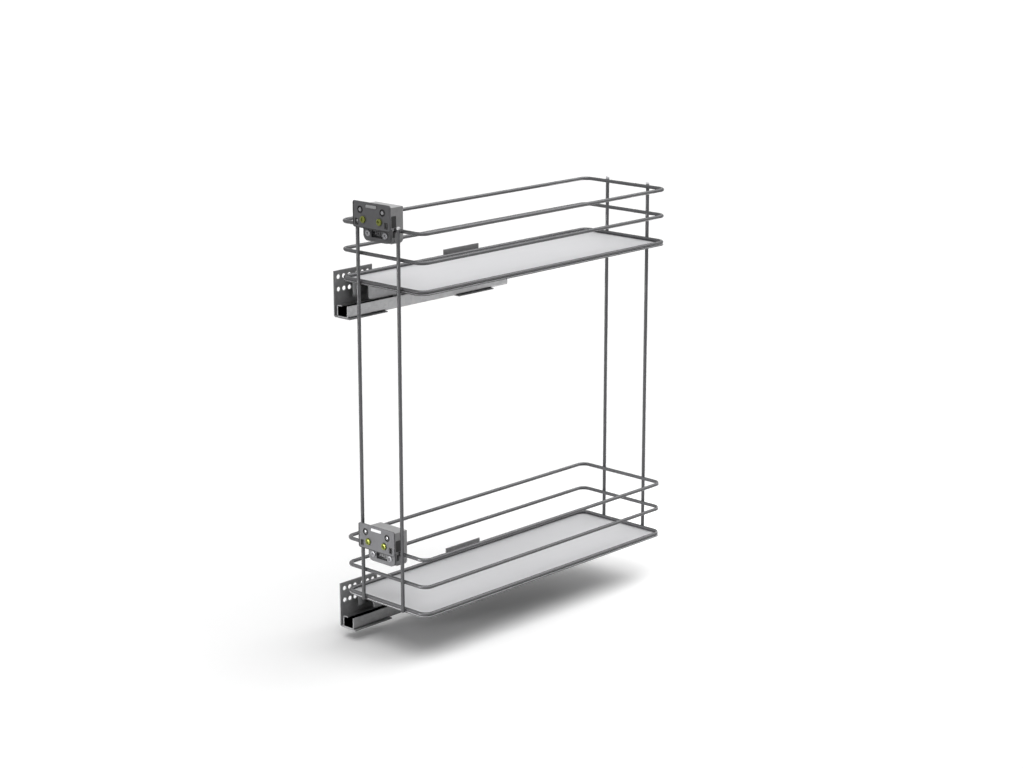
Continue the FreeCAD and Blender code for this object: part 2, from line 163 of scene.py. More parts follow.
# Bumps on the surface: their height is the pattern times distance, and strength is how far they show
def relief(shade, surface, height, strength, distance):
    bump = shade.node("ShaderNodeBump", {}, {"Height": height, "Strength": strength, "Distance": distance})
    shade.feed(surface.inputs["Normal"], bump)


# The x, y and z of the object coordinates
def axes(shade):
    return shade.node("ShaderNodeSeparateXYZ", {}, {0: placed(shade)}).outputs().values()


# share = clamp((half width - |value - middle|) / soft)
def within(shade, value, low, high, soft=0.0001):
    off = shade.node("ShaderNodeMath", {"operation": "ABSOLUTE"}, {0: value - (low + high) / 2})
    return shade.node("ShaderNodeMath", {"operation": "MULTIPLY", "use_clamp": True},
                      {0: (high - low) / 2 - off, 1: 1 / soft})


mottleEnds = (0.3, 0.7)
coatMake = {"ior": 1.35, "speckleShare": 0.45, "mottleShare": 0.55, "height": 0.00004}


# A sprayed and baked coat: fine orange peel, a faint mottle, and slow changes of gloss.
# Where a mask is given, its share is painted shade in the look's second colour.
def coating(name, look, shadeMask=None):
    edge = look["edge"]
    constants = {"Metallic": look["metallic"], "Coat Weight": look["coat"], "Coat Roughness": look["coatRough"],
                 "Coat IOR": coatMake["ior"], "Specular Tint": (edge, edge, edge, 1)}
    material, shade, surface = newFinish(name, constants)
    speckle = grain(shade, look["speckle"], detail=1.0)
    mottle = grain(shade, look["mottle"], detail=3.0)
    colour = mottled(shade, look, speckle * coatMake["speckleShare"] + mottle * coatMake["mottleShare"])
    if shadeMask:
        colour = blend(shade, shadeMask(shade), colour, look["second"])
    shade.feed(surface.inputs["Base Color"], colour)
    shade.feed(surface.inputs["Roughness"], mottle * look["glossSpread"] + look["roughness"])
    relief(shade, surface, grain(shade, look["peel"], detail=1.5), look["bump"], coatMake["height"])
    return material


steelMake = {"edge": (0.4, 0.4, 0.4, 1), "stretch": (1, 0.012, 1), "streakShare": 0.4, "flakeShare": 0.2,
             "cloudShare": 0.4, "height": 0.00003}


# Rolled and zinc-plated steel: long streaks along Y, a soft spangle, and small rub marks.
# Where a mask is given, its share is painted shade, in black.
def rolledSteel(name, look, insideShade=None):
    constants = {"Metallic": look["metallic"], "Specular Tint": steelMake["edge"]}
    material, shade, surface = newFinish(name, constants)
    streaks = grain(shade, look["streak"], steelMake["stretch"], detail=4.0)
    spangle = shade.node("ShaderNodeTexVoronoi", {"feature": "F1"},
                         {"Vector": placed(shade), "Scale": look["spangle"]}, out=1)
    flakes = shade.node("ShaderNodeSeparateColor", {}, {"Color": spangle})
    cloud = grain(shade, look["cloud"], detail=3.0)
    colour = mottled(shade, look, streaks * steelMake["streakShare"] + flakes * steelMake["flakeShare"]
                     + cloud * steelMake["cloudShare"])
    if insideShade:
        colour = blend(shade, insideShade(shade), colour, railShadePaint["colour"])
    shade.feed(surface.inputs["Base Color"], colour)
    gloss = streaks * look["glossSpread"] + cloud * look["glossSpread"] + look["roughness"]
    shade.feed(surface.inputs["Roughness"], gloss)
    relief(shade, surface, streaks, look["bump"], steelMake["height"])
    return material


platingMake = {"ends": (0.38, 0.62), "glossSpread": 0.16, "bump": 0.25, "height": 0.00005}


# Passivated zinc on small screws: the tint drifts between two hues
def platedScrew(name, look):
    material, shade, surface = newFinish(name, {"Metallic": look["metallic"]})
    drift = grain(shade, look["drift"], detail=2.0)
    hue = contrast(shade, drift, platingMake["ends"])
    shade.feed(surface.inputs["Base Color"], blend(shade, hue, look["colour"], look["second"]))
    shade.feed(surface.inputs["Roughness"], drift * platingMake["glossSpread"] + look["roughness"])
    relief(shade, surface, drift, platingMake["bump"], platingMake["height"])
    return material


mouldMake = {"cloud": 60, "dark": 0.92, "light": 1.06, "glossSpread": 0.12, "bump": 0.3, "height": 0.00004}


# Moulded plastic or rubber: a fine die texture and a slight change of gloss
def moulded(name, look):
    material, shade, surface = newFinish(name, {"Metallic": 0.0})
    texture = grain(shade, look["texture"], detail=2.0)
    cloud = grain(shade, mouldMake["cloud"], detail=2.0)
    dark, light = (scaled(look["colour"], mouldMake[key]) for key in ("dark", "light"))
    shade.feed(surface.inputs["Base Color"], blend(shade, cloud, dark, light))
    shade.feed(surface.inputs["Roughness"], texture * mouldMake["glossSpread"] + look["roughness"])
    relief(shade, surface, texture, mouldMake["bump"], mouldMake["height"])
    return material


wireLook = {"colour": (0.12, 0.12, 0.125), "spread": 0.12, "metallic": 0.5, "coat": 0.45, "coatRough": 0.12,
            "edge": 0.25, "roughness": 0.2, "glossSpread": 0.1, "speckle": 5200, "mottle": 140, "peel": 1300,
            "bump": 0.35}
shelfLook = {"colour": (0.66, 0.66, 0.675), "spread": 0.025, "metallic": 0.0, "coat": 0.0, "coatRough": 0.3,
             "edge": 1.0, "roughness": 0.42, "glossSpread": 0.1, "speckle": 2600, "mottle": 26, "peel": 1500,
             "bump": 0.25}
# The casting's second colour is painted shade, used only on the front faces of the housings' tabs
castLook = {"colour": (0.38, 0.38, 0.385), "second": (0.13, 0.13, 0.135), "spread": 0.12, "metallic": 0.05,
            "coat": 0.0, "coatRough": 0.3, "edge": 1.0, "roughness": 0.4, "glossSpread": 0.18, "speckle": 3400,
            "mottle": 210, "peel": 1700, "bump": 0.55}
plateLook = {"colour": (0.125, 0.125, 0.132), "spread": 0.1, "metallic": 0.25, "coat": 0.1, "coatRough": 0.3,
             "edge": 1.0, "roughness": 0.36, "glossSpread": 0.14, "speckle": 4200, "mottle": 120, "peel": 1900,
             "bump": 0.3}
railLook = {"colour": (0.35, 0.35, 0.355), "spread": 0.14, "metallic": 1.0, "roughness": 0.3,
            "glossSpread": 0.12, "streak": 1500, "spangle": 210, "cloud": 34, "bump": 0.25}
# The carriage's steel is the rails' steel painted darker: painted shade under the shelf
carriageShadedLook = {**railLook, "colour": (0.26, 0.26, 0.265)}
bracketLook = {"colour": (0.31, 0.31, 0.315), "spread": 0.1, "metallic": 0.1, "roughness": 0.34,
               "glossSpread": 0.14, "streak": 900, "spangle": 170, "cloud": 48, "bump": 0.22}
yellowLook = {"colour": (0.15, 0.17, 0.025), "second": (0.22, 0.24, 0.05), "metallic": 0.65,
              "roughness": 0.3, "drift": 420}
brightLook = {"colour": (0.2, 0.2, 0.21), "second": (0.32, 0.32, 0.33), "metallic": 0.9,
              "roughness": 0.28, "drift": 600}
# Pale metal for the uprights' tips: a painted highlight
tipHighlightLook = {"colour": (0.6, 0.6, 0.61), "second": (0.75, 0.75, 0.76), "metallic": 0.8,
               "roughness": 0.3, "drift": 500}
cageLook = {"colour": (0.6, 0.6, 0.57), "roughness": 0.45, "texture": 2400}
rollerLook = {"colour": (0.7, 0.7, 0.68), "roughness": 0.25, "texture": 3000}
rubberLook = {"colour": (0.02, 0.02, 0.02), "roughness": 0.6, "texture": 2000}
# Where the painted shade lies on the tabs' front faces
tabShadePlace = {"front": -0.007, "proud": 0.001, "depth": 0.0034, "margin": 0.002, "soft": 0.0003}


# Painted shade: the front face of each housing's tab is painted dark in the casting's second colour: within(y)
# * (within(z, lower) + within(z, upper))
def tabPaintedShade(shade):
    _, y, z = axes(shade)
    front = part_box("lower_top_ring")[0].y + tabShadePlace["front"]
    ranges = [(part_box(tier + "_bracket_housing")[0].z - tabShadePlace["margin"],
               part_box(tier + "_door_plate")[0].z + tabShadePlace["margin"]) for tier in tiers]
    low, high = (within(shade, z, *ends) for ends in ranges)
    return within(shade, y, front - tabShadePlace["proud"], front + tabShadePlace["depth"], tabShadePlace["soft"]) * (low + high)


finishes = {
    "wire_coating": coating("graphiteWireCoat", wireLook),
    "shelf_coating": coating("paleShelfCoat", shelfLook),
    # the housings carry painted shade on their tabs' front faces
    "cast_housing": coating("castHousingCoat", castLook, tabPaintedShade),
    "plate_coating": coating("doorPlateCoat", plateLook),
    "rail_steel": rolledSteel("rolledRailZinc", railLook),
    "bracket_steel": rolledSteel("foldedBracketZinc", bracketLook),
    "yellow_screw_steel": platedScrew("yellowZinc", yellowLook),
    "clamp_screw_steel": platedScrew("brightZinc", brightLook),
    "cage_plastic": moulded("naturalCagePlastic", cageLook),
    "roller_plastic": moulded("hardRollerPlastic", rollerLook),
    # the black rubber also colours the painted shade pieces on the door plates and housings
    "bumper_rubber": moulded("blackBumperRubberAndPaintedShade", rubberLook),
}
slotOf = {s["node"]: s["material_slot"] for s in frame["record"]["subparts"]}
for nodeName, nodeObject in nodes.items():
    nodeObject.data.materials.clear()
    nodeObject.data.materials.append(finishes[slotOf[nodeName]])
print("finishes made:", len(finishes))


# Meshes from grids of points

# Quads between the rows and columns of a grid, closed round where asked
def gridFaces(rows, cols, closeRows=False, closeCols=False):
    row = np.arange(rows if closeRows else rows - 1)[:, None]
    col = np.arange(cols if closeCols else cols - 1)[None, :]
    nextRow = (row + 1) % rows
    nextCol = (col + 1) % cols
    corners = [row * cols + col, row * cols + nextCol, nextRow * cols + nextCol, nextRow * cols + col]
    return np.stack(corners, axis=-1).reshape(-1, 4)


# A closed shell's volume has the sign of its faces' side, so a negative one is turned over
def outward(points, faces):
    a, b, c, d = (points[faces[:, i]] for i in range(4))
    volume = (np.cross(b - a, c - a) * a).sum() + (np.cross(c - a, d - a) * a).sum()
    return faces if volume > 0 else faces[:, ::-1]


meshPlan = {"mergeDigits": 8, "solidDigits": 6, "sharpAngle": 35}


# Points that fall together, as round a pole, become one
def joined(points, faces):
    points = points.reshape(-1, 3)
    _, first, place = np.unique(np.round(points, meshPlan["mergeDigits"]), axis=0, return_index=True,
                                return_inverse=True)
    return points[first], outward(points[first], place.reshape(-1)[faces])


# Closed shells become one smooth piece, sharp only where its faces meet steeply, that rides on its body
def addPiece(name, shells, body, slot, replaced=None):
    shells = [joined(p, f) for p, f in shells]
    starts = np.cumsum([0] + [len(p) for p, _ in shells[:-1]])
    points = np.concatenate([p for p, _ in shells])
    corners = [list(dict.fromkeys(c)) for (_, f), s in zip(shells, starts) for c in (f + s).tolist()]
    mesh = bpy.data.meshes.new(name)
    mesh.from_pydata(points.tolist(), [], [c for c in corners if len(c) > 2])
    mesh.materials.append(finishes[slot])
    mesh.polygons.foreach_set("use_smooth", np.ones(len(mesh.polygons), dtype=bool))
    mesh.set_sharp_from_angle(angle=math.radians(meshPlan["sharpAngle"]))
    mesh.update()
    piece = bpy.data.objects.new(name, mesh)
    bpy.context.collection.objects.link(piece)
    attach(piece, body)
    if replaced:
        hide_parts(replaced)
    return piece


# A profile of (radius, height) pairs turned about an axis through the centre. Each end closes on the axis.
def turned(profile, centre, axis, sides):
    profile = np.asarray(profile, dtype=float)
    angle = np.linspace(0, 2 * math.pi, sides, endpoint=False)
    across = profile[:, :1] * np.cos(angle)
    up = profile[:, :1] * np.sin(angle)
    along = np.repeat(profile[:, 1:], sides, axis=1)
    order = {"x": (along, across, up), "y": (across, along, up), "z": (across, up, along)}[axis]
    points = np.stack(order, axis=-1) + np.asarray(centre)
    return points, gridFaces(len(profile), sides, closeCols=True)


# A round bar's profile of (radius, height) pairs, closed on its axis, with each rim rounded by edge:
# radius - edge * (1 - sin(bend)), foot + edge * (1 - cos(bend)), and the same the other way up at the top
def barProfile(radius, foot, top, edge, steps):
    bend = np.linspace(0, math.pi / 2, steps)
    first = np.stack([radius - edge + edge * np.sin(bend), foot + edge - edge * np.cos(bend)], axis=1)
    last = np.stack([radius - edge + edge * np.cos(bend), top - edge + edge * np.sin(bend)], axis=1)
    return np.concatenate([[(0, foot)], first, last, [(0, top)]])


# The boxes of a mesh's separate solids. Each point takes the lowest number among its neighbours,
# until every solid has one number.
def solidBoxes(mesh):
    points = np.empty(3 * len(mesh.vertices))
    mesh.vertices.foreach_get("co", points)
    edges = np.empty(2 * len(mesh.edges), dtype=int)
    mesh.edges.foreach_get("vertices", edges)
    unique, place = np.unique(np.round(points.reshape(-1, 3), meshPlan["solidDigits"]), axis=0,
                              return_inverse=True)
    edges = place.reshape(-1)[edges].reshape(-1, 2)
    number = np.arange(len(unique))
    settled = False
    while not settled:
        lower = number.copy()
        np.minimum.at(lower, edges[:, 0], number[edges[:, 1]])
        np.minimum.at(lower, edges[:, 1], number[edges[:, 0]])
        settled = np.array_equal(lower, number)
        number = lower
    return [(unique[number == n].min(0), unique[number == n].max(0)) for n in np.unique(number)]


# The middle height of a node
def middleOf(node):
    low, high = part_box(node)
    return (low.z + high.z) / 2


# Basket wires

ringShape = {"corner": 0.012, "cornerSteps": 14, "straightSteps": 6, "sides": 24}


# A rounded rectangle seen from above, as points and outward directions:
# four quarter arcs, and straight runs between them
def roundedLoop(low, high, corner, cornerSteps, straightSteps):
    x0, x1, y0, y1 = low[0] + corner, high[0] - corner, low[1] + corner, high[1] - corner
    centres = np.array([(x1, y0), (x1, y1), (x0, y1), (x0, y0)])
    turn = np.linspace(0, math.pi / 2, cornerSteps)
    start = math.pi / 2 * np.arange(-1, 3)
    angle = start[:, None] + turn
    facing = np.stack([np.cos(angle), np.sin(angle)], axis=-1)
    arcs = centres[:, None] + corner * facing
    share = np.linspace(0, 1, straightSteps + 2)[1:-1, None]
    nextArc = np.roll(arcs, -1, axis=0)
    runs = arcs[:, -1:] * (1 - share) + nextArc[:, :1] * share
    runFacing = np.repeat(facing[:, -1:], straightSteps, axis=1)
    path = np.concatenate([arcs, runs], axis=1).reshape(-1, 2)
    return path, np.concatenate([facing, runFacing], axis=1).reshape(-1, 2)


# A rounded loop with as many steps as the rings have
def ringLoop(low, high, corner):
    return roundedLoop(low, high, corner, ringShape["cornerSteps"], ringShape["straightSteps"])


# A closed section of (outward, up) pairs carried round a level loop:
# each point is path + facing * outward, at level + up
def carried(path, facing, section, level):
    flat = path[:, None] + facing[:, None] * section[None, :, :1]
    height = np.broadcast_to(level + section[:, 1], flat.shape[:2])
    points = np.concatenate([flat, height[..., None]], axis=-1)
    return points, gridFaces(len(path), len(section), True, True)


# A round wire: the carried section is radius * (cos(v), sin(v))
def wireRing(node):
    low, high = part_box(node)
    radius = (high.z - low.z) / 2
    inner = (low.x + radius, low.y + radius)
    outer = (high.x - radius, high.y - radius)
    path, facing = ringLoop(inner, outer, ringShape["corner"])
    v = np.linspace(0, 2 * math.pi, ringShape["sides"], endpoint=False)
    section = radius * np.stack([np.cos(v), np.sin(v)], axis=1)
    shell = carried(path, facing, section, middleOf(node))
    return addPiece(node + "_round", [shell], "basket", "wire_coating", node)


uprightShape = {"sides": 28, "cutRadius": 0.0006, "cutSteps": 5}


# A sheared wire with slightly rounded ends
def uprightRod(node):
    low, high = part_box(node)
    profile = barProfile((high.x - low.x) / 2, low.z, high.z, uprightShape["cutRadius"],
                         uprightShape["cutSteps"])
    centre = ((low.x + high.x) / 2, (low.y + high.y) / 2, 0)
    return addPiece(node + "_round", [turned(profile, centre, "z", uprightShape["sides"])],
                    "basket", "wire_coating", node)


rings = [tier + "_" + ring for tier in tiers for ring in ("rim_wire", "middle_ring", "top_ring")]
uprights = [end + "_" + hand + "_upright" for end in ("front", "rear") for hand in ("left", "right")]
for ring in rings:
    wireRing(ring)
for upright in uprights:
    uprightRod(upright)

weldShape = {"size": (0.0026, 0.00135, 0.0024), "seam": (0.0016, 0.0028, 0.0028), "seamShare": 0.62,
             "rows": 9, "sides": 16}


# A squashed ball for each place: unit sphere points times the size, plus the place
def nuggets(places, size):
    polar = np.linspace(0, math.pi, weldShape["rows"])[:, None]
    turn = np.linspace(0, 2 * math.pi, weldShape["sides"], endpoint=False)[None, :]
    ball = np.stack([np.sin(polar) * np.cos(turn), np.sin(polar) * np.sin(turn), np.cos(polar) + 0 * turn],
                    axis=-1)
    faces = gridFaces(weldShape["rows"], weldShape["sides"], closeCols=True)
    return [(ball * size + np.asarray(place), faces) for place in places]


# Where the uprights cross the rings, and where each ring's ends are butt welded at the back
def weldMarks():
    crossings = []
    seams = []
    for ring in rings:
        low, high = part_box(ring)
        level = middleOf(ring)
        radius = (high.z - low.z) / 2
        seams.append((low.x + (high.x - low.x) * weldShape["seamShare"], high.y - radius, level))
        for upright in uprights:
            rodLow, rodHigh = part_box(upright)
            edge = low.y if upright.startswith("front") else high.y
            crossings.append(((rodLow.x + rodHigh.x) / 2, edge, level))
    shells = nuggets(crossings, weldShape["size"]) + nuggets(seams, weldShape["seam"])
    return addPiece("wire_weld_marks", shells, "basket", "wire_coating")


bandShape = {"corner": 0.0142, "sunk": 0.0003, "proud": 0.0002, "lightLine": 0.0005, "edge": 0.0001}


# The shelf's edge is coloured as the wires are, up to a thin light line under the rim wire
def shelfEdge(tier):
    low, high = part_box(tier + "_shelf")
    path, facing = ringLoop(low, high, bandShape["corner"])
    sunk, proud, edge = -bandShape["sunk"], bandShape["proud"], bandShape["edge"]
    foot, top = low.z - bandShape["edge"], high.z - bandShape["lightLine"]
    section = np.array([(sunk, foot), (proud - edge, foot), (proud, foot + edge), (proud, top - edge),
                        (proud - edge, top), (sunk, top)])
    addPiece(tier + "_shelf_edge_dark_band", [carried(path, facing, section, 0)], "basket", "wire_coating")


# Painted highlight on the uprights' tips: how far down the wire it reaches, how far it stands proud, and its
# rounded rim
tipHighlightShape = {"bare": 0.0029, "proud": 0.00006, "burr": 0.0003, "sides": 32}


# Painted highlight: a pale metal sleeve over each upright's top end
def uprightTipHighlights():
    shells = []
    for upright in uprights:
        low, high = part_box(upright)
        radius = (high.x - low.x) / 2 + tipHighlightShape["proud"]
        foot, top, burr = high.z - tipHighlightShape["bare"], high.z + tipHighlightShape["proud"], tipHighlightShape["burr"]
        profile = [(0, foot), (radius, foot), (radius, top - burr), (radius - burr, top), (0, top)]
        shells.append(turned(profile, ((low.x + high.x) / 2, (low.y + high.y) / 2, 0), "z", tipHighlightShape["sides"]))
    ends = addPiece("upright_tips_painted_highlight", shells, "basket", "clamp_screw_steel")
    ends.data.materials[0] = platedScrew("uprightTipPaintedHighlight", tipHighlightLook)


weldMarks()
uprightTipHighlights()
for tier in tiers:
    shelfEdge(tier)
print("wires made")


# Runner

railShape = {"bend": 0.0011, "bendSteps": 6, "edge": 0.0003, "thickness": 0.0016}


# A folded strip seen from its end: both faces follow the spine, with an arc at each bend.
# Returns the two faces' points, which go in pairs from one free edge to the other.
def foldedProfile(spine, thickness, bend, steps):
    spine = np.asarray(spine, dtype=float)
    run = np.diff(spine, axis=0)
    run = run / np.linalg.norm(run, axis=1, keepdims=True)
    normal = np.stack([-run[:, 1], run[:, 0]], axis=1)
    near = [spine[:1]]
    far = [spine[:1] + thickness * normal[:1]]
    for i in range(1, len(spine) - 1):
        side = np.sign(run[i - 1, 0] * run[i, 1] - run[i - 1, 1] * run[i, 0])
        inner = spine[i] + (thickness * (normal[i - 1] + normal[i]) if side > 0 else 0)
        pivot = inner + side * bend * (normal[i - 1] + normal[i])
        first = math.atan2(*(-side * normal[i - 1])[::-1])
        turn = side * math.pi / 2 * np.linspace(0, 1, steps)
        ray = np.stack([np.cos(first + turn), np.sin(first + turn)], axis=1)
        small, large = pivot + bend * ray, pivot + (bend + thickness) * ray
        near.append(large if side > 0 else small)
        far.append(small if side > 0 else large)
    near.append(spine[-1:])
    far.append(spine[-1:] + thickness * normal[-1:])
    return np.concatenate(near), np.concatenate(far)


# The profile carried along Y. The first and last stations are drawn in a little, which breaks the edges.
def foldedRail(spine, thickness, y0, y1):
    near, far = foldedProfile(spine, thickness, railShape["bend"], railShape["bendSteps"])
    edge = railShape["edge"]
    middle = (near + far) / 2
    stations = []
    for y, inset in ((y0, edge), (y0 + edge, 0), (y1 - edge, 0), (y1, edge)):
        share = 1 - 2 * inset / thickness
        loop = np.concatenate([middle + (near - middle) * share, (middle + (far - middle) * share)[::-1]])
        stations.append(np.insert(loop, 1, y, axis=1))
    points = np.stack(stations)
    count = len(near)
    faces = gridFaces(len(stations), 2 * count, closeCols=True)
    i = np.arange(count - 1)
    cap = np.stack([i, 2 * count - 1 - i, 2 * count - 2 - i, i + 1], axis=1)
    last = cap[:, ::-1] + 2 * count * (len(stations) - 1)
    return points, np.concatenate([faces, cap, last])


railPlan = {"lip": 0.0095, "middleLip": 0.0071, "middleSide": 0.0056}
# Painted shade inside the rails: its black, and how far in from the walls it begins
railShadePaint = {"colour": (0.012, 0.012, 0.012), "reach": 0.0001}


# Painted shade on the inner faces of both cabinet rails, where shade falls inside the channel: within(x) *
# (within(z, lower) + within(z, upper))
def railInsidePaintedShade(shade):
    x, _, z = axes(shade)
    wall = railShape["thickness"] - railShadePaint["reach"]
    boxes = [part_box(tier + "_cabinet_rail") for tier in tiers]
    across = within(shade, x, boxes[0][0].x + wall, boxes[0][1].x - wall)
    low, high = (within(shade, z, a.z + wall, b.z - wall) for a, b in boxes)
    return across * (low + high)


# Rail steel with painted shade inside the channel
railWithPaintedShade = rolledSteel("railZincWithPaintedShade", railLook, railInsidePaintedShade)
# A darker copy of the rail steel for the carriage: painted shade
carriageShadedSteel = rolledSteel("carriageZincPaintedShade", carriageShadedLook)


# The outer rail, whose lip folds over the carriage's slot, and the middle rail inside it
def runnerRails(tier):
    t = railShape["thickness"]
    low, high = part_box(tier + "_cabinet_rail")
    lipEnd = low.x + railPlan["lip"]
    spine = [(lipEnd, high.z), (low.x, high.z), (low.x, low.z), (high.x, low.z), (high.x, high.z)]
    rail = addPiece(tier + "_cabinet_rail_rolled", [foldedRail(spine, t, low.y, high.y)], "cabinet side",
                    "rail_steel", tier + "_cabinet_rail")
    # The cabinet rail takes the steel with painted shade inside
    rail.data.materials[0] = railWithPaintedShade
    low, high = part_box(tier + "_middle_rail")
    sideTop = low.z + railPlan["middleSide"]
    spine = [(low.x + railPlan["middleLip"], high.z), (low.x, high.z), (low.x, low.z), (high.x, low.z),
             (high.x, sideTop)]
    addPiece(tier + "_middle_rail_rolled", [foldedRail(spine, t, low.y, high.y)], tier + " middle rail",
             "rail_steel", tier + "_middle_rail")


easing = {"merge": 0.000002, "flatAngle": 0.6, "bevelAngle": 32, "segments": 3, "flatWeight": 80}


# A copy of a node with its doubles merged, its flat faces joined and its edges broken by a small bevel
def brokenEdges(node, body, width):
    source = bmesh.new()
    source.from_mesh(nodes[node].data)
    bmesh.ops.remove_doubles(source, verts=source.verts, dist=easing["merge"])
    bmesh.ops.dissolve_limit(source, angle_limit=math.radians(easing["flatAngle"]), verts=source.verts,
                             edges=source.edges, delimit=set())
    mesh = bpy.data.meshes.new(node + "_eased")
    source.to_mesh(mesh)
    source.free()
    mesh.materials.append(finishes[slotOf[node]])
    mesh.polygons.foreach_set("use_smooth", np.ones(len(mesh.polygons), dtype=bool))
    piece = bpy.data.objects.new(node + "_eased", mesh)
    bpy.context.collection.objects.link(piece)
    bevel = piece.modifiers.new("brokenEdge", "BEVEL")
    bevel.width = width
    bevel.segments = easing["segments"]
    bevel.limit_method = "ANGLE"
    bevel.angle_limit = math.radians(easing["bevelAngle"])
    bevel.use_clamp_overlap = True
    bevel.harden_normals = True
    flatter = piece.modifiers.new("flatFaces", "WEIGHTED_NORMAL")
    flatter.weight = easing["flatWeight"]
    flatter.keep_sharp = False
    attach(piece, body)
    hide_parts(node)
    return piece


edgeWidths = {"front_bracket": 0.0003, "rear_bracket": 0.0003, "carriage": 0.0004, "shelf": 0.0004,
              "bracket_housing": 0.0006, "bracket_clamp": 0.0006, "door_plate": 0.0004}
bodyOf = {"front_bracket": "cabinet side", "rear_bracket": "cabinet side", "carriage": "basket",
          "shelf": "basket", "bracket_housing": "basket", "bracket_clamp": "basket"}
rollerShape = {"edge": 0.00025, "edgeSteps": 4, "sides": 24}


# A roller lying along X, with its rims rounded
def rollerSet(tier, row):
    node = tier + "_" + row + "_rollers"
    shells = []
    for low, high in solidBoxes(nodes[node].data):
        profile = barProfile((high[2] - low[2]) / 2, low[0], high[0], rollerShape["edge"],
                             rollerShape["edgeSteps"])
        centre = (0, (low[1] + high[1]) / 2, (low[2] + high[2]) / 2)
        shells.append(turned(profile, centre, "x", rollerShape["sides"]))
    return addPiece(node + "_round", shells, tier + " " + row + " cage", "roller_plastic", node)


studShape = {"thread": 0.0007, "threadDepth": 0.00035, "radius": 0.002, "rows": 96, "sides": 36,
             "nutHeight": 0.0032, "across": 0.007, "nutLevels": (0.0, 0.0, 0.06, 0.14, 0.86, 0.94, 1.0, 1.0),
             "nutCone": (0, 0.97, 1.05, 1.16, 1.16, 1.05, 0.97, 0)}


# Rows of radius and height turned about x, y: each point is (x + r * cos(angle), y + r * sin(angle), height)
def aboutAxis(x, y, angle, radius, height):
    points = np.stack([x + radius * np.cos(angle), y + radius * np.sin(angle), height], axis=-1)
    return points, gridFaces(len(radius), len(angle), closeCols=True)


# A threaded stud: radius = r - depth * saw(turns + height / pitch), and a hexagon nut whose corners are
# cut by a cone: radius = min(hexagon, flats * cone)
def studSet(tier):
    node = tier + "_carriage_studs"
    shells = []
    angle = np.linspace(0, 2 * math.pi, studShape["sides"], endpoint=False)
    flats = studShape["across"] / 2
    hexagon = flats / np.cos((angle + math.pi / 6) % (math.pi / 3) - math.pi / 6)
    levels, cone = (np.array(studShape[key])[:, None] for key in ("nutLevels", "nutCone"))
    nutRadius = np.minimum(hexagon, flats * cone)
    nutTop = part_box(tier + "_carriage")[1].z - railShape["thickness"]
    nutHeight = nutTop - studShape["nutHeight"] * (1 - levels) + 0 * nutRadius
    for low, high in solidBoxes(nodes[node].data):
        x, y = (low[0] + high[0]) / 2, (low[1] + high[1]) / 2
        rise = np.linspace(0, high[2] - low[2], studShape["rows"])[:, None]
        phase = (rise / studShape["thread"] + angle / (2 * math.pi)) % 1
        radius = studShape["radius"] - studShape["threadDepth"] * np.abs(2 * phase - 1)
        radius = np.concatenate([0 * radius[:1], radius, 0 * radius[:1]])
        height = np.concatenate([rise[:1], rise, rise[-1:]]) + low[2] + 0 * radius
        shells.append(aboutAxis(x, y, angle, radius, height))
        shells.append(aboutAxis(x, y, angle, nutRadius, nutHeight))
    return addPiece(node + "_threaded", shells, "basket", "clamp_screw_steel", node)


for tier in tiers:
    runnerRails(tier)
    for piece, body in bodyOf.items():
        eased = brokenEdges(tier + "_" + piece, body, edgeWidths[piece])
        # The carriage takes the darker copy of the rail steel: painted shade
        if piece == "carriage":
            eased.data.materials[0] = carriageShadedSteel
    brokenEdges(tier + "_door_plate", tier + " door plate", edgeWidths["door_plate"])
    rollerSet(tier, "outer")
    rollerSet(tier, "inner")
    studSet(tier)
print("runners made")


# Door brackets

doorScrew = {"head": 0.0045, "height": 0.0026, "dome": 0.001, "shank": 0.0025, "recess": 0.0019,
             "arm": 0.00075, "reach": 0.0025, "turn": 0.35}
clampScrew = {"head": 0.00425, "height": 0.0016, "dome": 0.0005, "shank": 0.0025, "recess": 0.0011,
              "arm": 0.00055, "reach": 0.0023, "turn": 0.8}
screwGrid = {"face": 34, "rim": 6, "sides": 96, "crown": 0.5, "wall": 0.35, "end": 4}


# A screw seen from the front (-Y). The face is a shallow dome with a cross recess whose walls slope:
# depth = recess * clamp((arm - distance to the nearer arm) / soft) * clamp((reach - radius) / (end * soft))
def crossScrew(look, x, z, underHead, tip):
    angle = np.linspace(0, 2 * math.pi, screwGrid["sides"], endpoint=False)
    flatEdge = look["head"] - look["dome"]
    radius = np.linspace(0, flatEdge, screwGrid["face"])[:, None]
    across = np.abs(radius * np.sin(angle - look["turn"]))
    along = np.abs(radius * np.cos(angle - look["turn"]))
    toArm = np.minimum(across, along)
    soft = look["arm"] * screwGrid["wall"]
    inArm = np.clip((look["arm"] - toArm) / soft, 0, 1)
    inArm = inArm * np.clip((look["reach"] - radius) / (screwGrid["end"] * soft), 0, 1)
    crown = underHead - look["height"]
    sag = look["dome"] * screwGrid["crown"]
    face = crown + sag * (radius / flatEdge) ** 2 + look["recess"] * inArm
    rim = np.linspace(0, math.pi / 2, screwGrid["rim"])[1:, None]
    rimRadius = flatEdge + look["dome"] * np.sin(rim)
    rimDepth = crown + sag + look["dome"] * (1 - np.cos(rim))
    tail = np.array([(look["head"], underHead), (look["shank"], underHead), (look["shank"], tip), (0, tip)])
    ones = np.ones_like(angle)
    radii = np.concatenate([radius * ones, rimRadius * ones, tail[:, :1] * ones])
    depth = np.concatenate([face, rimDepth * ones, tail[:, 1:] * ones])
    points = np.stack([x + radii * np.cos(angle), depth, z + radii * np.sin(angle)], axis=-1)
    return points, gridFaces(len(radii), screwGrid["sides"], closeCols=True)


